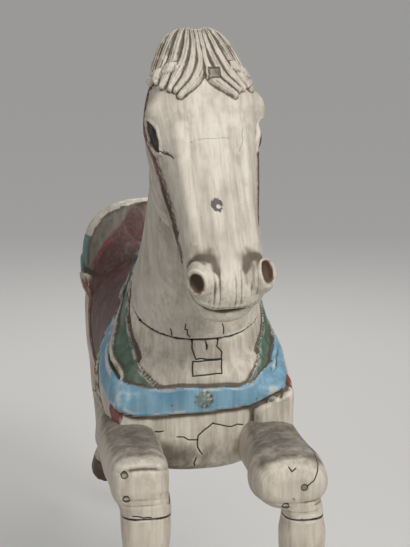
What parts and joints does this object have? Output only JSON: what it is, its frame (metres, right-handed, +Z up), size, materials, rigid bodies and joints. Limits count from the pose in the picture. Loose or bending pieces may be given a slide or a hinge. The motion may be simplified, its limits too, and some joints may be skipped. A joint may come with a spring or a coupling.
{
  "type": "carousel horse",
  "caption": "Carved and painted wooden carousel horse at the gallop with saddle and breast strap, held on a post above a low base.",
  "frame": {"origin": "middle of the flat underside of the stand's base", "axes": "+Z up, -Y is the way the horse faces, +X is the horse's left side"},
  "size_m": [0.36, 1.1944, 1.2317],
  "materials": {
    "painted_wood": "worn cream oil paint over carved wood, with painted harness",
    "painted_wood_dark": "worn dark brown-grey paint over carved wood",
    "stained_wood": "dark stained and waxed hardwood",
    "post_steel": "satin black painted steel bar",
    "socket_iron": "black painted cast iron"
  },
  "bodies": {
    "root": {"trunk": "painted_wood", "neck_and_head": "painted_wood", "foreleg_right_upper": "painted_wood", "foreleg_right_lower": "painted_wood", "foreleg_left_upper": "painted_wood", "foreleg_left_lower": "painted_wood", "hind_leg_right_upper": "painted_wood", "hind_leg_right_lower": "painted_wood", "hind_leg_left_upper": "painted_wood", "hind_leg_left_lower": "painted_wood", "tail": "painted_wood_dark", "stand_base": "stained_wood", "stand_post": "post_steel", "base_socket": "socket_iron", "belly_socket": "socket_iron"}
  },
  "joints": []
}
